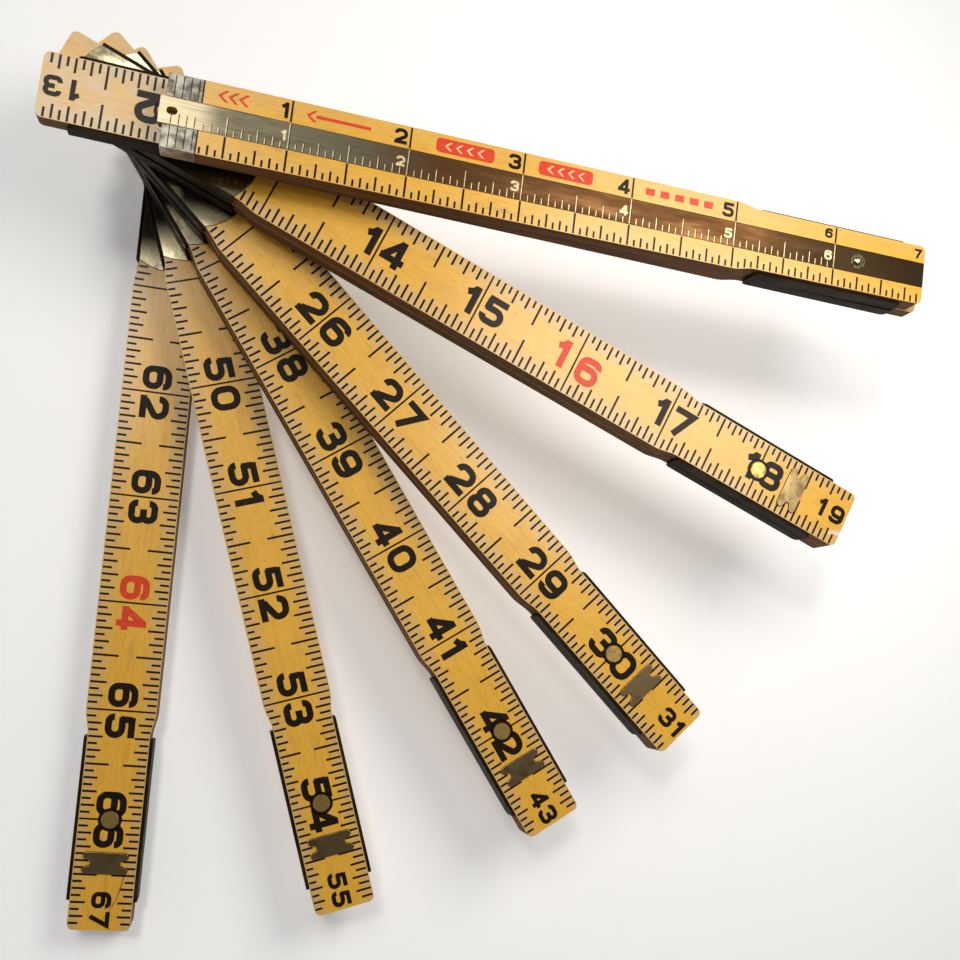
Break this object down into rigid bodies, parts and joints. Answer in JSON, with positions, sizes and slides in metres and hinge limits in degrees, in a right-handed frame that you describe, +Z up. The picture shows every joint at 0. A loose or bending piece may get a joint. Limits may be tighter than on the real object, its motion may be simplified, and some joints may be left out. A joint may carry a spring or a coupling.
{
  "type": "folding rule",
  "caption": "Zigzag wooden folding rule shown part fanned, with riveted plate joints, strike plates, metal end caps and a brass extension slide let into the first section.",
  "frame": {"origin": "middle of the underside of section 12, the last section, which rests on the table", "axes": "+Z up, along every pivot axis; +Y along section 12 towards its 72 inch end; +X to the right of it, the side the fan opens to"},
  "size_m": [0.2036, 0.2038, 0.0491],
  "materials": {
    "wood": "varnished boxwood yellow, fine straight grain",
    "joint_plate": "brass-toned plated sheet, polished and aged",
    "rivet": "aged brass",
    "strike_plate": "aged brass",
    "slide_brass": "satin aged brass",
    "scale_ink": "black printed scale under varnish, drawn in the visual model",
    "red_ink": "red printed numbers under varnish, drawn in the visual model",
    "end_cap": "worn nickel plate"
  },
  "bodies": {
    "rule_section_01": {"section_01": "wood", "upper_plate_01": "joint_plate", "rivet_01": "rivet", "zero_end_cap": "end_cap"},
    "rule_section_02": {"section_02": "wood", "upper_plate_02": "joint_plate", "rivet_02": "rivet", "lower_plate_01": "joint_plate"},
    "rule_section_03": {"section_03": "wood", "upper_plate_03": "joint_plate", "rivet_03": "rivet", "lower_plate_02": "joint_plate", "strike_plate_03": "strike_plate"},
    "rule_section_04": {"section_04": "wood", "upper_plate_04": "joint_plate", "rivet_04": "rivet", "lower_plate_03": "joint_plate", "strike_plate_04": "strike_plate"},
    "rule_section_05": {"section_05": "wood", "upper_plate_05": "joint_plate", "rivet_05": "rivet", "lower_plate_04": "joint_plate", "strike_plate_05": "strike_plate"},
    "rule_section_06": {"section_06": "wood", "upper_plate_06": "joint_plate", "rivet_06": "rivet", "lower_plate_05": "joint_plate", "strike_plate_06": "strike_plate"},
    "rule_section_07": {"section_07": "wood", "upper_plate_07": "joint_plate", "rivet_07": "rivet", "lower_plate_06": "joint_plate", "strike_plate_07": "strike_plate"},
    "rule_section_08": {"section_08": "wood", "upper_plate_08": "joint_plate", "rivet_08": "rivet", "lower_plate_07": "joint_plate", "strike_plate_08": "strike_plate"},
    "rule_section_09": {"section_09": "wood", "upper_plate_09": "joint_plate", "rivet_09": "rivet", "lower_plate_08": "joint_plate", "strike_plate_09": "strike_plate"},
    "rule_section_10": {"section_10": "wood", "upper_plate_10": "joint_plate", "rivet_10": "rivet", "lower_plate_09": "joint_plate", "strike_plate_10": "strike_plate"},
    "rule_section_11": {"section_11": "wood", "upper_plate_11": "joint_plate", "rivet_11": "rivet", "lower_plate_10": "joint_plate", "strike_plate_11": "strike_plate"},
    "rule_section_12": {"section_12": "wood", "lower_plate_11": "joint_plate", "tail_end_cap": "end_cap"},
    "slide": {"extension_slide": "slide_brass", "slide_stud": "slide_brass"}
  },
  "joints": [
    {"name": "fold_11", "type": "hinge", "parent": "rule_section_12", "child": "rule_section_11", "pos_m": [0, -0.0635, 0.00375], "axis": [0, 0, 1], "range_deg": [-180, 180]},
    {"name": "fold_10", "type": "hinge", "parent": "rule_section_11", "child": "rule_section_10", "pos_m": [0, 0.0889, 0.00775], "axis": [0, 0, 1], "range_deg": [-198.3, 161.7]},
    {"name": "fold_09", "type": "hinge", "parent": "rule_section_10", "child": "rule_section_09", "pos_m": [0.04785, -0.05579, 0.01175], "axis": [0, 0, 1], "range_deg": [-180, 180]},
    {"name": "fold_08", "type": "hinge", "parent": "rule_section_09", "child": "rule_section_08", "pos_m": [0, 0.0889, 0.01575], "axis": [0, 0, 1], "range_deg": [-197, 163]},
    {"name": "fold_07", "type": "hinge", "parent": "rule_section_08", "child": "rule_section_07", "pos_m": [0.08807, -0.03548, 0.01975], "axis": [0, 0, 1], "range_deg": [-180, 180]},
    {"name": "fold_06", "type": "hinge", "parent": "rule_section_07", "child": "rule_section_06", "pos_m": [0, 0.0889, 0.02375], "axis": [0, 0, 1], "range_deg": [-191.7, 168.3]},
    {"name": "fold_05", "type": "hinge", "parent": "rule_section_06", "child": "rule_section_05", "pos_m": [0.11146, -0.01504, 0.02775], "axis": [0, 0, 1], "range_deg": [-180, 180]},
    {"name": "fold_04", "type": "hinge", "parent": "rule_section_05", "child": "rule_section_04", "pos_m": [0, 0.0889, 0.03175], "axis": [0, 0, 1], "range_deg": [-200.7, 159.3]},
    {"name": "fold_03", "type": "hinge", "parent": "rule_section_04", "child": "rule_section_03", "pos_m": [0.141, 0.03107, 0.03575], "axis": [0, 0, 1], "range_deg": [-180, 180]},
    {"name": "fold_02", "type": "hinge", "parent": "rule_section_03", "child": "rule_section_02", "pos_m": [0, 0.0889, 0.03975], "axis": [0, 0, 1], "range_deg": [-199.6, 160.4]},
    {"name": "fold_01", "type": "hinge", "parent": "rule_section_02", "child": "rule_section_01", "pos_m": [0.15223, 0.08172, 0.04375], "axis": [0, 0, 1], "range_deg": [-180.7, 179.3]},
    {"name": "slide_out", "type": "slide", "parent": "rule_section_01", "child": "slide", "axis": [-0.9994, 0.0349, 0], "range_m": [0, 0.1524]}
  ]
}
